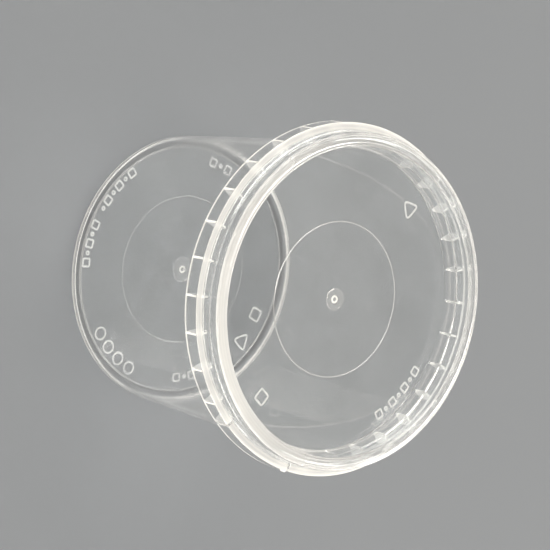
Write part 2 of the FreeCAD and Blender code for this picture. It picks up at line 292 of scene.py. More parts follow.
def paint_glow(piece, chosen):
    """Mark the faces painted with a glow, in the piece's attribute "edge": white that stands in for the
    light that thin edges gather.

    chosen takes the radius, angle and height of each face's middle and the Z part of its
    normal, and gives 0 for clear plastic up to 1 for plastic painted as a bright white glow.
    """
    faces = piece.data.polygons
    middle, normal = np.empty(3 * len(faces), np.float32), np.empty(3 * len(faces), np.float32)
    faces.foreach_get("center", middle)
    faces.foreach_get("normal", normal)
    middle, normal = middle.reshape(-1, 3), normal.reshape(-1, 3)
    edge = piece.data.attributes.new("edge", "FLOAT", "FACE")
    angle = np.arctan2(middle[:, 1], middle[:, 0])
    values = chosen(np.hypot(middle[:, 0], middle[:, 1]), angle, middle[:, 2], normal[:, 2])
    edge.data.foreach_set("value", np.asarray(values, np.float32))
    return piece


def first_glow(*cases):
    """For each face the painted glow of the first case (condition, glow) that holds, or else 0."""
    conditions, glows = zip(*cases)
    return np.select(conditions, glows, 0.0)


def grid_quads(rows, columns, wrap_rows, wrap_columns, first=0):
    """Corner numbers of the quads of a grid of points, closed or open in each direction."""
    row, column = np.meshgrid(
        np.arange(rows if wrap_rows else rows - 1),
        np.arange(columns if wrap_columns else columns - 1), indexing="ij")
    next_row, next_column = (row + 1) % rows, (column + 1) % columns
    quads = np.stack([row * columns + column, row * columns + next_column,
                      next_row * columns + next_column, next_row * columns + column], -1)
    return first + quads.reshape(-1, 4)


def soft_path(corners, cuts, closed=False):
    """Round every inner corner of an outline by a short parabola.

    corners is (..., corner, 2). At a corner P with cut t the parabola runs from A, t before P,
    to B, t after it: (1-s)^2 A + 2s(1-s) P + s^2 B for s from 0 to 1. Corners in one line stay
    apart, so outlines with the same number of corners always match point for point.
    """
    before = np.roll(corners, 1, axis=-2)
    after = np.roll(corners, -1, axis=-2)
    if not closed:
        before, after, middle = (part[..., 1:-1, :] for part in (before, after, corners))
    else:
        middle = corners
    cuts = np.asarray(cuts)[..., None]
    start = middle + (before - middle) / np.linalg.norm(before - middle, axis=-1, keepdims=True) * cuts
    end = middle + (after - middle) / np.linalg.norm(after - middle, axis=-1, keepdims=True) * cuts
    s = np.linspace(0, 1, ROUNDING_STEPS + 1)[:, None]
    curve = ((1 - s) ** 2 * start[..., None, :] + 2 * s * (1 - s) * middle[..., None, :]
             + s ** 2 * end[..., None, :])
    curve = curve.reshape(curve.shape[:-3] + (-1, 2))
    if closed:
        return curve
    return np.concatenate([corners[..., :1, :], curve, corners[..., -1:, :]], axis=-2)


def turned(name, sections, angles):
    """A closed solid turned all the way round the Z axis.

    sections is (angle, point, 2), radius and height, and every section starts and ends on the
    axis. A point (r, h) at angle a lies at (r cos a, r sin a, h). The two ends become single
    points with a fan of triangles each.
    """
    radius, height = sections[:, 1:-1, 0].T, sections[:, 1:-1, 1].T
    rows, columns = radius.shape
    ring = np.stack([radius * np.cos(angles), radius * np.sin(angles), height], -1).reshape(-1, 3)
    poles = np.array([[0, 0, sections[0, 0, 1]], [0, 0, sections[0, -1, 1]]])
    here = np.arange(columns)
    after = (here + 1) % columns
    last = (rows - 1) * columns
    pole = np.full(columns, rows * columns)
    fans = [np.stack([pole, after, here], -1), np.stack([pole + 1, last + here, last + after], -1)]
    return make_mesh(name, np.concatenate([ring, poles]),
                     [grid_quads(rows, columns, False, True)] + fans)


def swept_sector(sections, angles, first=0):
    """Points and faces of a closed outline carried round the axis over part of a turn.

    sections is (angle, point, 2), radius and height; a cap closes each end.
    """
    radius, height = sections[..., 0].T, sections[..., 1].T
    rows, columns = radius.shape
    points = np.stack([radius * np.cos(angles), radius * np.sin(angles), height], -1).reshape(-1, 3)
    loop = first + np.arange(rows) * columns
    caps = [loop[None, :], (loop + columns - 1)[None, ::-1]]
    return points, [grid_quads(rows, columns, True, False, first)] + caps


def joined(parts):
    """Points and faces of several parts as one set.

    parts is a list of functions that take the number of their first point.
    """
    points, polygons, first = [], [], 0
    for part in parts:
        some, faces = part(first)
        points.append(some)
        polygons.extend(faces)
        first += len(some)
    return np.concatenate(points), polygons


# Tub


def neck_inside(height, sizes):
    """Radius of the neck's inner face at a height: it widens evenly from flange to rim."""
    return NECK_RADIUS - sizes.wall + NECK_FLARE * (height - FLANGE_TOP) / (RIM_HEIGHT - FLANGE_TOP)


def wall_outside(height):
    """Radius of the tapered wall's outer face at a height."""
    return BASE_RADIUS + WALL_TAPER * height / SKIRT_FOOT


def gate_corners(face, into, radius, inner_first):
    """Corners and cuts of the gate's dimple and ring in a flat face.

    into is +1 or -1, the way into the plastic, and radius is the dimple's. The ring's crest lies
    0.25 mm above the dimple's floor. inner_first tells which way the outline runs.
    """
    bottom = face + into * 0.3 * MM
    crest = face + into * 0.05 * MM
    corners = [(0.0, bottom), (0.58 * MM, bottom), (0.66 * MM, crest), (1.06 * MM, crest),
               (GATE_RADIUS, bottom), (radius - 0.5 * MM, bottom), (radius, face)]
    cuts = [0.04 * MM, 0.08 * MM, 0.08 * MM, 0.04 * MM, 0.28 * MM, 0.28 * MM]
    return (corners, cuts) if inner_first else (corners[::-1], cuts[::-1])


def circle_corners(face, into, radius, inner_first):
    """Corners and cuts of the fine circle, a shallow step in a flat face."""
    low = face + into * 0.1 * MM
    corners = [(radius - 0.15 * MM, face), (radius - 0.05 * MM, low),
               (radius + 0.05 * MM, low), (radius + 0.15 * MM, face)]
    cuts = [0.03 * MM] * 4
    return (corners, cuts) if inner_first else (corners[::-1], cuts[::-1])


def rim_sections(sizes):
    """The three outlines of the channel under the flange, corner for corner.

    open: the channel with the skirt outside it. rib: the channel filled down to the skirt's
    foot. stub: only the narrow inner part of the flange, where the tear tab is parted off. The
    skirt has a corner at FOOT_LINE, so that the painted glow on its foot ends in a clean line.
    """
    flange_under = FLANGE_TOP - sizes.flange
    skirt_inside = FLANGE_RADIUS - sizes.skirt
    shoulder = (SHOULDER_RADIUS, SKIRT_FOOT)
    outside = [(skirt_inside, SKIRT_FOOT), (FLANGE_RADIUS, SKIRT_FOOT), (FLANGE_RADIUS, FOOT_LINE),
               (FLANGE_RADIUS, FLANGE_TOP), (LEDGE_RADIUS, FLANGE_TOP)]
    reach = skirt_inside - SHOULDER_RADIUS
    channel = [(NECK_RADIUS, SHOULDER_TOP), (NECK_RADIUS, flange_under), (skirt_inside, flange_under),
               (skirt_inside, FOOT_LINE)]
    filled = [(SHOULDER_RADIUS + reach * share, SKIRT_FOOT) for share in (0.2, 0.4, 0.6, 0.8)]
    stub = [(NECK_RADIUS, SHOULDER_TOP), (NECK_RADIUS, flange_under), (SCORE_RADIUS, flange_under)]
    stub += [(SCORE_RADIUS, flange_under + share * sizes.flange) for share in (0.2, 0.4, 0.6, 0.8, 1.0)]
    stub += [((NECK_RADIUS + SCORE_RADIUS) / 2, FLANGE_TOP)]
    cuts = np.array([
        [0.3, 0.3, 0.4, 0.25, 0.05, 0.2, 0.2, 0.05, 0.4, 0.05],
        [0.3, 0.3, 0.3, 0.3, 0.3, 0.2, 0.2, 0.05, 0.4, 0.05],
        [0.3, 0.3, 0.35, 0.08, 0.04, 0.04, 0.04, 0.04, 0.1, 0.05]]) * MM
    return [[shoulder] + channel + outside, [shoulder] + filled + outside, [shoulder] + stub], cuts


def rim_columns(sizes):
    """Angles of the tub's columns in radians, and for each the outline that it has.

    Even steps all round, with two more columns at each flank of a rib and of an end wall. Between
    the two the outline changes from filled to open, which gives the flank a little draft.
    """
    middle = NECK_RADIUS + 2.1 * MM
    edge, root = np.degrees(np.array([sizes.rib_edge, sizes.rib_root]) / 2 / middle)
    tab = math.degrees(sizes.tab_half_angle)
    slot = math.degrees(sizes.slot / 2 / FLANGE_RADIUS)
    wall = math.degrees(0.8 * MM / middle)
    centres = np.arange(2 * RIB_PITCH, 360 - 2 * RIB_PITCH + 1, RIB_PITCH)
    flanks = (centres[:, None] + np.array([-root, -edge, edge, root])).ravel()
    ends = tab + slot + np.array([-0.02, 0.02, wall, wall + 0.1])
    even = np.arange(0.0, 360.0, COLUMN_STEP)
    angles = np.unique(np.concatenate([even, flanks, ends, 360 - ends]))
    off_tab = np.minimum(angles, 360 - angles)
    off_rib = np.abs((angles + RIB_PITCH / 2) % RIB_PITCH - RIB_PITCH / 2)
    kind = np.zeros(len(angles), int)
    kind[(off_rib < (edge + root) / 2) & (off_tab > FIRST_RIB)] = 1
    kind[(off_tab > tab + slot) & (off_tab < tab + slot + wall + 0.05)] = 1
    kind[off_tab < tab + slot] = 2
    return np.radians(angles), kind


def tub_painted_glow(sizes):
    """Which of the tub's faces get a painted glow: ribs, the skirt's foot, the flange's ledge, foot ring
    and gate.
    """
    foot_outer = BASE_RADIUS - sizes.heel
    foot_inner = foot_outer - FOOT_RING

    def chosen(radius, angle, height, upward):
        below = (height > SKIRT_FOOT - 0.1 * MM) & (height < FLANGE_TOP - sizes.flange - 0.15 * MM)
        skirt = below & (radius > FLANGE_RADIUS - sizes.skirt - 0.1 * MM)
        flanks = below & (radius > NECK_RADIUS + 0.2 * MM) & ~skirt
        free = flanks & (height < SKIRT_FOOT + 0.1 * MM)
        foot = skirt & (height < FOOT_LINE)
        turn = np.degrees(angle) % 360
        off_rib = np.radians(np.abs((turn + RIB_PITCH / 2) % RIB_PITCH - RIB_PITCH / 2)) * radius
        on_rib = (off_rib < sizes.rib_edge / 2) & (np.abs(turn - 180) < 180 - FIRST_RIB)
        flange_top = (upward > 0.5) & (np.abs(height - FLANGE_TOP) < 0.4 * MM)
        bottom = height < FOOT_HEIGHT + 0.3 * MM
        gate = bottom & (radius < GATE_RADIUS) & (radius > 0.5 * MM)
        dimple = (radius < BASE_DIMPLE) & (height < FOOT_HEIGHT + 0.4 * MM)
        ring = bottom & (np.abs(radius - foot_inner) < 0.3 * MM)
        heel = (np.abs(height - 0.8 * sizes.heel) < 0.2 * sizes.heel) & (radius > foot_outer)
        circle = bottom & (np.abs(radius - sizes.fine_circle) < 0.35 * MM)
        # Painted glow: white painted on the gate, the skirt's foot, rib edges, the ledge, foot ring, heel
        # and fine circle
        return first_glow(
            (gate, BRIGHT), (foot, STRONG), (free, BRIGHT), (skirt & on_rib, SEAM), (flanks, SOFT),
            (flange_top & (radius > LEDGE_RADIUS), LIT),
            (flange_top & on_rib & (radius > NECK_RADIUS), LIT),
            (dimple, FAINT), (ring, MILD), (heel, LIT), (circle, DIM))
    return chosen


def tub_surface(sizes):
    """The whole tub but its tear tab, as one closed turned surface."""
    floor = FOOT_HEIGHT + sizes.base
    lip_low = RIM_HEIGHT - 1.3 * MM
    lip_root = lip_low - 0.7 * MM
    gate, gate_cuts = gate_corners(FOOT_HEIGHT, 1, BASE_DIMPLE, True)
    circle, circle_cuts = circle_corners(FOOT_HEIGHT, 1, sizes.fine_circle, True)
    foot_inner = BASE_RADIUS - sizes.heel - FOOT_RING
    below = gate + circle + [
        (foot_inner, FOOT_HEIGHT), (foot_inner, 0.0), (wall_outside(0.0), 0.0)]
    below_cuts = gate_cuts + circle_cuts + [0.3 * MM, 0.2 * MM, sizes.heel]
    above = [
        (NECK_RADIUS, FLANGE_TOP),
        (neck_inside(lip_root, sizes) + sizes.wall, lip_root),
        (LIP_RADIUS, lip_low),
        (LIP_RADIUS, RIM_HEIGHT),
        (neck_inside(RIM_HEIGHT, sizes), RIM_HEIGHT),
        (NECK_RADIUS - sizes.wall, SHOULDER_TOP),
        (SHOULDER_RADIUS - sizes.wall, SKIRT_FOOT),
        (wall_outside(floor) - sizes.wall, floor),
        (0.0, floor),
    ]
    above_cuts = [0.3 * MM, 0.25 * MM, 0.25 * MM, 0.45 * MM, 0.3 * MM, 0.3 * MM, 0.3 * MM, 0.8 * MM]
    rims, rim_cuts = rim_sections(sizes)
    corners = np.array([below + rim + above for rim in rims])
    cuts = np.array([np.concatenate([below_cuts, cut, above_cuts]) for cut in rim_cuts])
    angles, kind = rim_columns(sizes)
    return paint_glow(turned("tub_shell", soft_path(corners, cuts)[kind], angles), tub_painted_glow(sizes))


def tab_sections(sizes, angles):
    """Outlines of the tear tab: flange and skirt, with the finger edge as a swelling.

    The finger edge stands out by 0.5 mm times a bump that is 1 over its width and falls to 0
    over 0.5 mm at each side, as a smooth step 3t^2 - 2t^3.
    """
    inner = SCORE_RADIUS + SCORE_WIDTH
    flange_under = FLANGE_TOP - sizes.flange
    skirt_inside = FLANGE_RADIUS - sizes.skirt
    middle = sizes.tab_half_angle - math.radians(1.8)
    t = np.clip((1.3 * MM - np.abs(angles - middle) * FLANGE_RADIUS) / (0.5 * MM), 0, 1)
    swell = 0.5 * MM * (3 * t ** 2 - 2 * t ** 3)
    corners = np.array([
        (inner, flange_under), (skirt_inside, flange_under), (skirt_inside, FOOT_LINE),
        (skirt_inside, SKIRT_FOOT), (FLANGE_RADIUS, SKIRT_FOOT), (FLANGE_RADIUS, FOOT_LINE),
        (FLANGE_RADIUS, flange_under), (FLANGE_RADIUS, FLANGE_TOP - 0.5 * sizes.flange),
        (FLANGE_RADIUS, FLANGE_TOP), (LEDGE_RADIUS, FLANGE_TOP), (inner, FLANGE_TOP)])
    corners = np.repeat(corners[None], len(angles), axis=0)
    corners[:, 7:9, 0] += swell[:, None]
    cuts = np.array([0.12, 0.4, 0.05, 0.2, 0.2, 0.05, 0.15, 0.1, 0.25, 0.05, 0.12]) * MM
    return soft_path(corners, cuts, closed=True)


def tear_tab(sizes):
    """The tear tab, swept between the inner sides of its two end slots."""
    reach = sizes.tab_half_angle - sizes.slot / 2 / FLANGE_RADIUS
    angles = np.linspace(-reach, reach, 121)
    points, polygons = swept_sector(tab_sections(sizes, angles), angles)

    # Painted glow: white painted on the tab's foot and on its ledge outside the lid
    def chosen(radius, angle, height, upward):
        ledge = (upward > 0.5) & (height > FLANGE_TOP - 0.4 * MM) & (radius > LEDGE_RADIUS)
        return first_glow((height < FOOT_LINE, BRIGHT), (ledge, LIT))

    return paint_glow(make_mesh("tear_tab", points, polygons), chosen)


def tab_bridges(sizes):
    """The thin bridges that hold the tear tab: two along the score, one at each end."""
    bury = 0.05 * MM
    flange_under = FLANGE_TOP - sizes.flange
    bridge = math.radians(0.7)
    arc = (2 * sizes.tab_half_angle - 2 * bridge) / 3
    score = [(SCORE_RADIUS - bury, flange_under), (SCORE_RADIUS + SCORE_WIDTH + bury, flange_under),
             (SCORE_RADIUS + SCORE_WIDTH + bury, FLANGE_TOP), (SCORE_RADIUS - bury, FLANGE_TOP)]
    skirt = [(FLANGE_RADIUS - sizes.skirt, SKIRT_FOOT), (FLANGE_RADIUS, SKIRT_FOOT),
             (FLANGE_RADIUS, SKIRT_FOOT + 0.7 * MM),
             (FLANGE_RADIUS - sizes.skirt, SKIRT_FOOT + 0.7 * MM)]
    slot = (sizes.slot / 2 + bury) / FLANGE_RADIUS
    places = [(score, side * (arc + bridge) / 2, bridge / 2) for side in (-1, 1)]
    places += [(skirt, side * sizes.tab_half_angle, slot) for side in (-1, 1)]

    def block(corners, middle, half):
        angles = np.linspace(middle - half, middle + half, 5)
        section = soft_path(np.array(corners), [0.08 * MM] * 4, closed=True)
        return lambda first: swept_sector(np.repeat(section[None], 5, axis=0), angles, first)

    points, polygons = joined([block(*place) for place in places])
    return make_mesh("tab_bridges", points, polygons)


# Lid


def lid_painted_glow(sizes):
    """Which of the lid's faces get a painted glow: top, outer wall's foot, gate, fine circle, panel's
    corner.

    The top is painted white as a painted highlight, strongest on one side: 0.07 + 0.5 ((1 + cos a) / 2)^3.
    """
    plug_inside = neck_inside(CEILING, sizes) - PLUG_GAP - sizes.plug

    def chosen(radius, angle, height, upward):
        # Painted highlight: the lid's top and the panel's corner are painted whiter towards one side
        white = 0.07 + 0.5 * (0.5 + 0.5 * np.cos(angle - PAINTED_LIGHT_SIDE)) ** 3
        top = (upward > 0.25) & (height > LID_TOP - 0.8 * MM)
        foot = (upward < -0.8) & (height < LID_FOOT + 0.2 * MM) & (radius > plug_inside + 2 * MM)
        gate = (radius < GATE_RADIUS) & (radius > 0.5 * MM) & (height > PANEL - 0.25 * MM)
        dimple = (radius < PANEL_DIMPLE) & (height > PANEL - 0.4 * MM)
        corner = (upward > -0.1) & (np.abs(height - PANEL) < 0.6 * MM)
        corner &= (radius > plug_inside - 1.2 * MM) & (radius < plug_inside + 0.1 * MM)
        circle = (height > PANEL - 0.3 * MM) & (np.abs(radius - sizes.fine_circle) < 0.35 * MM)
        return first_glow((gate, BRIGHT), (top, white), (foot, LIT), (dimple, FAINT),
                          (corner, 1.5 * white), (circle, SOFT))
    return chosen


def lid_surface(sizes):
    """The lid as one closed turned surface: panel, plug wall, top, outer wall and bead."""
    panel_under = PANEL - sizes.panel
    edge_radius = LID_FOOT_RADIUS - 0.65 * MM
    wall_low = LID_FOOT_RADIUS - sizes.lid_wall
    wall_high = edge_radius - sizes.lid_wall

    def wall_inside(height):
        return wall_low + (wall_high - wall_low) * (height - LID_FOOT) / (CEILING - LID_FOOT)

    def plug_outside(height):
        return neck_inside(height, sizes) - PLUG_GAP

    gate, gate_cuts = gate_corners(PANEL, -1, PANEL_DIMPLE, False)
    circle, circle_cuts = circle_corners(PANEL, -1, sizes.fine_circle, False)
    bead_high, bead_low = BEAD_HEIGHT + 0.6 * MM, BEAD_HEIGHT - 0.6 * MM
    corners = [
        (0.0, panel_under),
        (plug_outside(panel_under), panel_under),
        (plug_outside(CEILING), CEILING),
        (wall_high, CEILING),
        (wall_inside(bead_high), bead_high),
        (LIP_RADIUS + 0.2 * MM, BEAD_HEIGHT),
        (wall_inside(bead_low), bead_low),
        (wall_low, LID_FOOT),
        (LID_FOOT_RADIUS, LID_FOOT),
        (edge_radius, LID_TOP),
        (plug_outside(CEILING) - sizes.plug, LID_TOP),
        (plug_outside(PANEL) - sizes.plug, PANEL),
    ] + circle + gate
    cuts = [0.5 * MM, 0.4 * MM, 0.4 * MM, 0.12 * MM, 0.2 * MM, 0.12 * MM, 0.2 * MM, 0.2 * MM,
            1.0 * MM, 0.9 * MM, 0.5 * MM] + circle_cuts + gate_cuts
    angles = np.radians(np.arange(0.0, 360.0, COLUMN_STEP))
    section = soft_path(np.array(corners), cuts)
    shell = turned("lid_shell", np.repeat(section[None], len(angles), axis=0), angles)
    return paint_glow(shell, lid_painted_glow(sizes))


# Relief marks

# Each row of marks: shape, radius of the row in mm, angle of its middle, how many, and the step
BASE_MARKS = (
    ("row", 35.2, -71.0, 5, 4.6),
    ("row", 35.2, -100.5, 6, 4.6),
    ("ring", 34.0, -12.0, 4, 8.6),
    ("row", 33.6, -169.0, 3, 5.2),
    ("row", 32.9, 37.5, 3, 5.0),
    ("triangle", 32.6, 78.8, 1, 0.0),
    ("square", 31.8, 95.8, 1, 0.0),
)
LID_MARKS = (
    ("row", 38.9, 75.5, 7, 4.3),
    ("triangle", 36.4, 166.5, 1, 0.0),
    ("square", 35.8, -9.3, 1, 0.0),
)


def stroke_tube(x, y, width, height, first):
    """A raised stroke along a closed plane curve.

    Its section is an ellipse, width across and twice height tall, whose lower half lies in the
    plastic: point + n * width/2 * cos b, height * sin b, with n square to the curve.
    """
    along_x, along_y = np.roll(x, -1) - np.roll(x, 1), np.roll(y, -1) - np.roll(y, 1)
    length = np.hypot(along_x, along_y)
    turn = np.linspace(0, 2 * np.pi, 8, endpoint=False)
    across = width / 2 * np.cos(turn)[:, None]
    points = np.stack([x + across * along_y / length, y - across * along_x / length,
                       np.repeat(height * np.sin(turn)[:, None], len(x), axis=1)], -1)
    return points.reshape(-1, 3), [grid_quads(8, len(x), True, True, first)]


def mark_curve(shape, size, steps=40):
    """A closed plane curve: size * (cos a + q cos (n-1)a, sin a - q sin (n-1)a).

    q = 0 gives a circle, and n = 3 or 4 with a small q gives a triangle or a square with
    rounded corners.
    """
    q, n = {"ring": (0, 3), "pip": (0, 3), "triangle": (0.22, 3), "square": (-0.13, 4)}[shape]
    a = np.linspace(0, 2 * np.pi, steps, endpoint=False)
    return (size * (np.cos(a) + q * np.cos((n - 1) * a)),
            size * (np.sin(a) - q * np.sin((n - 1) * a)))


def mark_part(shape, size, radius, angle, face, sizes):
    """One mark as a part for joined(): its curve, set across the radius at an angle."""
    def part(first):
        x, y = mark_curve(shape, size)
        points, faces = stroke_tube(x, y, sizes.stroke, sizes.relief, first)
        out, side = radius + points[:, 1], points[:, 0]
        c, s = math.cos(angle), math.sin(angle)
        return np.stack([out * c - side * s, out * s + side * c, face + points[:, 2]], -1), faces
    return part


def relief_marks(name, rows, face, sizes):
    """All the relief marks of one moulding, as one piece of many closed strokes."""
    word = ("square", "pip")
    parts = []
    for shape, radius, middle, count, step in rows:
        for i in range(count):
            angle = math.radians(middle + (i - (count - 1) / 2) * step)
            kind = word[i % len(word)] if shape == "row" else shape
            size = {"pip": 0.45, "ring": 1.75, "triangle": 2.1}.get(kind, 2.0 if count == 1 else 1.3) * MM
            parts.append(mark_part(kind, size, radius * MM, angle, face, sizes))
    points, polygons = joined(parts)
    return make_mesh(name, points, polygons)


# Materials


def add_node(tree, kind, place, **values):
    """Add a node at a place, and set its own fields and the values of its inputs."""
    node = tree.nodes.new(kind)
    node.location = place
    for key, value in values.items():
        name = key.replace("_", " ").title()
        if hasattr(node, key):
            setattr(node, key, value)
        else:
            node.inputs[name].default_value = value
    return node


def map_range(tree, place, source, start=(0.0, 1.0), end=(0.0, 1.0), smooth=False):
    """Add a node that maps the values of a socket from one range to another, and give its output."""
    node = add_node(tree, "ShaderNodeMapRange", place)
    node.interpolation_type = "SMOOTHSTEP" if smooth else "LINEAR"
    for name, value in zip(("From Min", "From Max", "To Min", "To Max"), (*start, *end)):
        node.inputs[name].default_value = value
    tree.links.new(source, node.inputs["Value"])
    return node.outputs["Result"]


def flow_group():
    """Node group: how a thin clear moulding varies over its surface.

    It gives a cloud mask, a fine scratch mask, and a height of flow lines. The flow lines run
    up the wall from the gate and out over the panel, so they follow the angle round the axis.
    """
    if "moulding flow" in bpy.data.node_groups:
        return bpy.data.node_groups["moulding flow"]
    tree = bpy.data.node_groups.new("moulding flow", "ShaderNodeTree")
    for name, default in (("Cloud Scale", 60.0), ("Flow Lines", 14.0), ("Scratch Scale", 900.0)):
        socket = tree.interface.new_socket(name=name, in_out="INPUT", socket_type="NodeSocketFloat")
        socket.default_value = default
    for name in ("Clouds", "Scratches", "Height"):
        tree.interface.new_socket(name=name, in_out="OUTPUT", socket_type="NodeSocketFloat")
    link = tree.links.new
    given = add_node(tree, "NodeGroupInput", (-1100, 0))
    result = add_node(tree, "NodeGroupOutput", (500, 0))
    place = add_node(tree, "ShaderNodeTexCoord", (-1100, 300))

    clouds = add_node(tree, "ShaderNodeTexNoise", (-600, 300), detail=4.0, roughness=0.6)
    link(place.outputs["Object"], clouds.inputs["Vector"])
    link(given.outputs["Cloud Scale"], clouds.inputs["Scale"])
    soft = map_range(tree, (-350, 300), clouds.outputs["Fac"], start=(0.42, 0.72), smooth=True)
    link(soft, result.inputs["Clouds"])

    apart = add_node(tree, "ShaderNodeSeparateXYZ", (-900, 0))
    link(place.outputs["Object"], apart.inputs["Vector"])
    angle = add_node(tree, "ShaderNodeMath", (-700, 0), operation="ARCTAN2")
    link(apart.outputs["Y"], angle.inputs[0])
    link(apart.outputs["X"], angle.inputs[1])
    round_it = add_node(tree, "ShaderNodeCombineXYZ", (-500, 0))
    cosine = add_node(tree, "ShaderNodeMath", (-600, -150), operation="COSINE")
    sine = add_node(tree, "ShaderNodeMath", (-600, -300), operation="SINE")
    link(angle.outputs["Value"], cosine.inputs[0])
    link(angle.outputs["Value"], sine.inputs[0])
    link(cosine.outputs["Value"], round_it.inputs["X"])
    link(sine.outputs["Value"], round_it.inputs["Y"])
    link(apart.outputs["Z"], round_it.inputs["Z"])
    lines = add_node(tree, "ShaderNodeTexNoise", (-300, 0), detail=3.0, roughness=0.55)
    link(round_it.outputs["Vector"], lines.inputs["Vector"])
    link(given.outputs["Flow Lines"], lines.inputs["Scale"])
    link(lines.outputs["Fac"], result.inputs["Height"])

    stretch = add_node(tree, "ShaderNodeMapping", (-800, -500))
    stretch.inputs["Rotation"].default_value = (0.3, 0.2, 0.6)
    stretch.inputs["Scale"].default_value = (1.0, 0.05, 0.3)
    link(place.outputs["Object"], stretch.inputs["Vector"])
    hair = add_node(tree, "ShaderNodeTexNoise", (-500, -500), detail=2.0, roughness=0.5)
    link(stretch.outputs["Vector"], hair.inputs["Vector"])
    link(given.outputs["Scratch Scale"], hair.inputs["Scale"])
    thin = map_range(tree, (-250, -500), hair.outputs["Fac"], start=(0.68, 0.74), smooth=True)
    link(thin, result.inputs["Scratches"])
    return tree


def clear_plastic(name, finish, cloud_scale, smooth, rough):
    """Clear moulded polypropylene: it refracts, with a faint milkiness and a little blur.

    Where the attribute "edge" says so it is painted the bright white of a thin edge that gathers
    light, a painted glow. Light from lamps passes through to what lies behind, as through thin clear
    plastic.
    """
    material = bpy.data.materials.new(name)
    material.use_nodes = True
    tree = material.node_tree
    tree.nodes.clear()
    link = tree.links.new
    flow = add_node(tree, "ShaderNodeGroup", (-700, 0), node_tree=flow_group())
    flow.inputs["Cloud Scale"].default_value = cloud_scale
    colour = add_node(tree, "ShaderNodeMix", (-400, 250), data_type="RGBA")
    colour.inputs[6].default_value = (*finish.tint, 1)
    colour.inputs[7].default_value = (*finish.milk, 1)
    link(flow.outputs["Clouds"], colour.inputs[0])
    blur = map_range(tree, (-400, 0), flow.outputs["Clouds"], end=(smooth, rough))
    worn = add_node(tree, "ShaderNodeMath", (-220, 0), operation="MULTIPLY_ADD")
    worn.inputs[1].default_value = 0.10
    link(flow.outputs["Scratches"], worn.inputs[0])
    link(blur, worn.inputs[2])
    bump = add_node(tree, "ShaderNodeBump", (-220, -250))
    bump.inputs["Strength"].default_value = 0.3
    bump.inputs["Distance"].default_value = 0.015 * MM
    link(flow.outputs["Height"], bump.inputs["Height"])
    plastic = add_node(tree, "ShaderNodeBsdfPrincipled", (0, 0))
    plastic.inputs["Transmission Weight"].default_value = finish.clearness
    plastic.inputs["IOR"].default_value = 1.49
    link(colour.outputs[2], plastic.inputs["Base Color"])
    link(worn.outputs["Value"], plastic.inputs["Roughness"])
    link(bump.outputs["Normal"], plastic.inputs["Normal"])

    # Painted glow on the edges: a whitish, partly matt finish, with fine rings of more and less white
    # round the axis
    place = add_node(tree, "ShaderNodeTexCoord", (-900, -600))
    apart = add_node(tree, "ShaderNodeVectorMath", (-700, -600), operation="MULTIPLY")
    apart.inputs[1].default_value = (1, 1, 0)
    link(place.outputs["Object"], apart.inputs[0])
    radius = add_node(tree, "ShaderNodeVectorMath", (-550, -600), operation="LENGTH")
    link(apart.outputs["Vector"], radius.inputs[0])
    streaks = add_node(tree, "ShaderNodeTexNoise", (-400, -600), noise_dimensions="1D", detail=3.0)
    streaks.inputs["Scale"].default_value = 1500.0
    link(radius.outputs["Value"], streaks.inputs["W"])
    glow = add_node(tree, "ShaderNodeMix", (-200, -600), data_type="RGBA")
    glow.inputs[6].default_value = (0.86, 0.855, 0.84, 1)
    glow.inputs[7].default_value = (*finish.painted_glow_colour, 1)
    sharper = map_range(tree, (-300, -450), streaks.outputs["Fac"], start=(0.35, 0.6))
    link(sharper, glow.inputs[0])
    bright = add_node(tree, "ShaderNodeBsdfPrincipled", (0, -600))
    bright.inputs["Transmission Weight"].default_value = 0.3
    bright.inputs["IOR"].default_value = 1.49
    bright.inputs["Roughness"].default_value = 0.3
    link(glow.outputs[2], bright.inputs["Base Color"])
    edge = add_node(tree, "ShaderNodeAttribute", (0, 450), attribute_name="edge")
    blend = add_node(tree, "ShaderNodeMixShader", (300, -100))
    link(edge.outputs["Fac"], blend.inputs["Fac"])
    link(plastic.outputs["BSDF"], blend.inputs[1])
    link(bright.outputs["BSDF"], blend.inputs[2])

    # Rays from a lamp go straight through
    through = add_node(tree, "ShaderNodeBsdfTransparent", (0, 250))
    through.inputs["Color"].default_value = (0.93, 0.935, 0.94, 1)
    rays = add_node(tree, "ShaderNodeLightPath", (0, 600))
    both = add_node(tree, "ShaderNodeMixShader", (450, 0))
    link(rays.outputs["Is Shadow Ray"], both.inputs["Fac"])
    link(blend.outputs["Shader"], both.inputs[1])
    link(through.outputs["BSDF"], both.inputs[2])
    result = add_node(tree, "ShaderNodeOutputMaterial", (650, 0))
    link(both.outputs["Shader"], result.inputs["Surface"])

    # Milkiness inside the plastic
    cloud = add_node(tree, "ShaderNodeVolumeScatter", (300, -300))
    cloud.inputs["Color"].default_value = (1.0, 1.0, 0.99, 1)
    cloud.inputs["Density"].default_value = finish.cloudiness
    cloud.inputs["Anisotropy"].default_value = 0.2
    link(cloud.outputs["Volume"], result.inputs["Volume"])
    return material


def frosted_marks(finish):
    """Relief strokes whose matt face scatters light, so they read white in the clear plastic."""
    material = bpy.data.materials.new("frosted relief")
    material.use_nodes = True
    tree = material.node_tree
    tree.nodes.clear()
    link = tree.links.new
    flow = add_node(tree, "ShaderNodeGroup", (-700, 0), node_tree=flow_group())
    flow.inputs["Cloud Scale"].default_value = 500.0
    rough = map_range(tree, (-400, 0), flow.outputs["Clouds"], end=(0.4, 0.6))
    cover = map_range(tree, (-400, -250), flow.outputs["Clouds"], end=(0.55, 0.75))
    plastic = add_node(tree, "ShaderNodeBsdfPrincipled", (0, 0))
    plastic.inputs["Base Color"].default_value = (*finish.mark_colour, 1)
    plastic.inputs["IOR"].default_value = 1.49
    link(rough, plastic.inputs["Roughness"])
    link(cover, plastic.inputs["Alpha"])
    result = add_node(tree, "ShaderNodeOutputMaterial", (300, 0))
    link(plastic.outputs["BSDF"], result.inputs["Surface"])
    return material


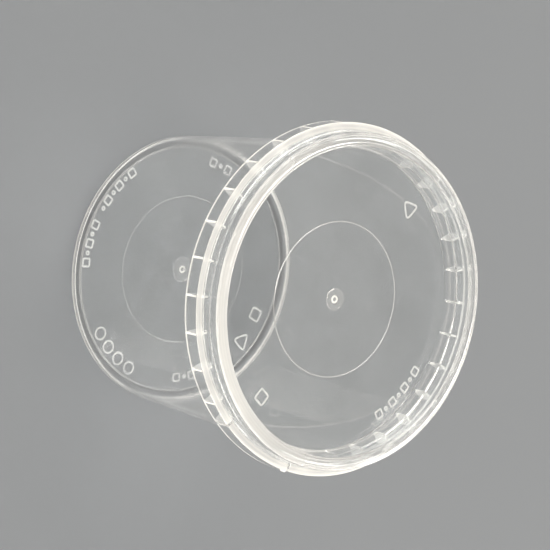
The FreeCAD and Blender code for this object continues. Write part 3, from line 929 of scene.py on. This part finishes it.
def floor_material(colour):
    """Plain matt floor with a barely visible grain."""
    material = bpy.data.materials.new("plain floor")
    material.use_nodes = True
    tree = material.node_tree
    plastic = tree.nodes["Principled BSDF"]
    plastic.inputs["Base Color"].default_value = (*colour, 1)
    plastic.inputs["Specular IOR Level"].default_value = 0.05
    place = add_node(tree, "ShaderNodeTexCoord", (-700, 0))
    grain = add_node(tree, "ShaderNodeTexNoise", (-500, 0), scale=300.0)
    tree.links.new(place.outputs["Object"], grain.inputs["Vector"])
    rough = map_range(tree, (-250, 0), grain.outputs["Fac"], end=(0.8, 0.9))
    tree.links.new(rough, plastic.inputs["Roughness"])
    return material


# Operators


def dress(piece, material, body, slot, *replaced):
    """Give a piece its material and body, and hide the nodes that it stands for. The record slot is not
    used.
    """
    piece.data.materials.append(material)
    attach(piece, body)
    if replaced:
        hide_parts(*replaced)


class BuildTub(bpy.types.Operator):
    """Build the tub's shell with its ribbed rim"""

    bl_idname = "container.build_tub"
    bl_label = "Tub"

    def execute(self, context):
        scene = context.scene
        material = clear_plastic("clear tub plastic", scene.container_finish, 55.0, 0.02, 0.06)
        dress(tub_surface(scene.container_sizes), material, "tub", "clear_tub", "tub")
        return {"FINISHED"}


class BuildTab(bpy.types.Operator):
    """Build the tear tab and the bridges that hold it"""

    bl_idname = "container.build_tab"
    bl_label = "Tear tab"

    def execute(self, context):
        sizes = context.scene.container_sizes
        material = clear_plastic("clear tab plastic", context.scene.container_finish, 90.0, 0.03, 0.07)
        for piece in (tear_tab(sizes), tab_bridges(sizes)):
            dress(piece, material, "tub", "clear_tub")
        return {"FINISHED"}


class BuildLid(bpy.types.Operator):
    """Build the snap lid"""

    bl_idname = "container.build_lid"
    bl_label = "Lid"

    def execute(self, context):
        scene = context.scene
        material = clear_plastic("clear lid plastic", scene.container_finish, 45.0, 0.02, 0.05)
        dress(lid_surface(scene.container_sizes), material, "lid", "clear_lid", "lid")
        return {"FINISHED"}


class BuildMarks(bpy.types.Operator):
    """Build the plain relief marks under the base and the panel"""

    bl_idname = "container.build_marks"
    bl_label = "Relief marks"

    def execute(self, context):
        sizes = context.scene.container_sizes
        material = frosted_marks(context.scene.container_finish)
        dress(relief_marks("tub_marks", BASE_MARKS, FOOT_HEIGHT, sizes), material, "tub", "clear_tub")
        dress(relief_marks("lid_marks", LID_MARKS, PANEL - sizes.panel, sizes), material,
              "lid", "clear_lid")
        return {"FINISHED"}


def soft_light(name, place, aim, size, power):
    """A large round lamp at a place, facing a point, a little warm."""
    lamp = bpy.data.lights.new(name, "AREA")
    lamp.shape = "DISK"
    lamp.size = size
    lamp.energy = power
    lamp.color = WARM_WHITE
    holder = bpy.data.objects.new(name, lamp)
    holder.location = place
    holder.rotation_euler = (Vector(aim) - Vector(place)).to_track_quat("-Z", "Y").to_euler()
    bpy.context.scene.collection.objects.link(holder)


def studio_world(strength):
    """Soft white surround: brightest near the horizon, and fading to grey overhead.

    Reflections see it dimmer, so that a low view of the clear walls and base isn't blown out.
    """
    world = bpy.data.worlds.new("studio")
    world.use_nodes = True
    tree = world.node_tree
    link = tree.links.new
    place = add_node(tree, "ShaderNodeTexCoord", (-900, 0))
    apart = add_node(tree, "ShaderNodeSeparateXYZ", (-700, 0))
    link(place.outputs["Generated"], apart.inputs["Vector"])
    fade = map_range(tree, (-500, 0), apart.outputs["Z"], start=(0.25, 0.45), end=(1.0, 0.06), smooth=True)
    rays = add_node(tree, "ShaderNodeLightPath", (-900, -250))
    mirrored = map_range(tree, (-500, -300), rays.outputs["Is Glossy Ray"], end=(1.0, MIRRORED_SHARE))
    both = add_node(tree, "ShaderNodeMath", (-380, -150), operation="MULTIPLY")
    link(fade, both.inputs[0])
    link(mirrored, both.inputs[1])
    bright = add_node(tree, "ShaderNodeMath", (-250, 0), operation="MULTIPLY")
    bright.inputs[1].default_value = strength
    link(both.outputs["Value"], bright.inputs[0])
    back = tree.nodes["Background"]
    link(bright.outputs["Value"], back.inputs["Strength"])
    back.inputs["Color"].default_value = (*WARM_WHITE, 1)
    return world


class BuildStage(bpy.types.Operator):
    """Build the plain floor, the soft lights and the camera"""

    bl_idname = "container.build_stage"
    bl_label = "Stage"

    def execute(self, context):
        scene = context.scene
        stage = scene.container_stage
        half = 3.0
        mesh = bpy.data.meshes.new("floor")
        mesh.from_pydata([(-half, -half, 0), (half, -half, 0), (half, half, 0), (-half, half, 0)],
                         [], [(0, 1, 2, 3)])
        floor = bpy.data.objects.new("floor", mesh)
        floor.data.materials.append(floor_material(stage.floor_colour))
        scene.collection.objects.link(floor)

        middle = (0, 0, 0.05)
        soft_light("key light", (-0.75, -0.35, 0.95), middle, 0.7, 6.0 * stage.light)
        soft_light("fill light", (0.9, 0.1, 0.3), middle, 0.8, 5.0 * stage.light)
        soft_light("rim light", (-0.1, 0.95, 0.3), middle, 0.6, 6.0 * stage.light)

        scene.world = studio_world(stage.surround)
        scene.view_settings.view_transform = "Standard"
        # Light crosses many walls of clear plastic before it reaches the camera
        scene.cycles.max_bounces = 32
        scene.cycles.transmission_bounces = 32
        scene.cycles.glossy_bounces = 32
        scene.cycles.transparent_max_bounces = 32

        ahead = Vector((math.cos(stage.pitch) * math.cos(stage.heading),
                        math.cos(stage.pitch) * math.sin(stage.heading), math.sin(stage.pitch)))
        level_right = Vector((ahead.y, -ahead.x, 0)).normalized()
        level_up = level_right.cross(ahead)
        right = math.cos(stage.roll) * level_right + math.sin(stage.roll) * level_up
        up = right.cross(ahead)
        camera = bpy.data.objects.new("camera", bpy.data.cameras.new("camera"))
        camera.data.lens = stage.lens
        camera.data.sensor_width = 36.0
        camera.data.clip_start = 0.01
        turn = Matrix((right, up, -ahead)).transposed().to_4x4()
        camera.matrix_world = Matrix.Translation(Vector(stage.look_at) - stage.distance * ahead) @ turn
        scene.collection.objects.link(camera)
        scene.camera = camera
        return {"FINISHED"}


class ContainerPanel(bpy.types.Panel):
    """Lists the container's pieces and their settings"""

    bl_idname = "VIEW3D_PT_container"
    bl_label = "Tamper-evident container"
    bl_space_type = "VIEW_3D"
    bl_region_type = "UI"
    bl_category = "Container"

    def draw(self, context):
        layout = self.layout
        for operator in OPERATORS:
            layout.operator(operator.bl_idname)
        for group in (context.scene.container_sizes, context.scene.container_finish,
                      context.scene.container_stage):
            for name in group.bl_rna.properties.keys():
                if name not in ("rna_type", "name"):
                    layout.prop(group, name)


OPERATORS = (BuildTub, BuildTab, BuildLid, BuildMarks, BuildStage)
GROUPS = {"container_sizes": ContainerSizes, "container_finish": ContainerFinish,
          "container_stage": ContainerStage}


def register():
    """Register the classes and hang the settings on the scene."""
    for cls in (*GROUPS.values(), *OPERATORS, ContainerPanel):
        bpy.utils.register_class(cls)
    for name, group in GROUPS.items():
        setattr(bpy.types.Scene, name, PointerProperty(type=group))


def unregister():
    """Undo register."""
    for name in GROUPS:
        delattr(bpy.types.Scene, name)
    for cls in reversed((*GROUPS.values(), *OPERATORS, ContainerPanel)):
        bpy.utils.unregister_class(cls)


def main():
    register()
    bpy.ops.container.build_tub()
    bpy.ops.container.build_tab()
    bpy.ops.container.build_lid()
    bpy.ops.container.build_marks()
    bpy.ops.container.build_stage()


if __name__ == "__main__":
    main()
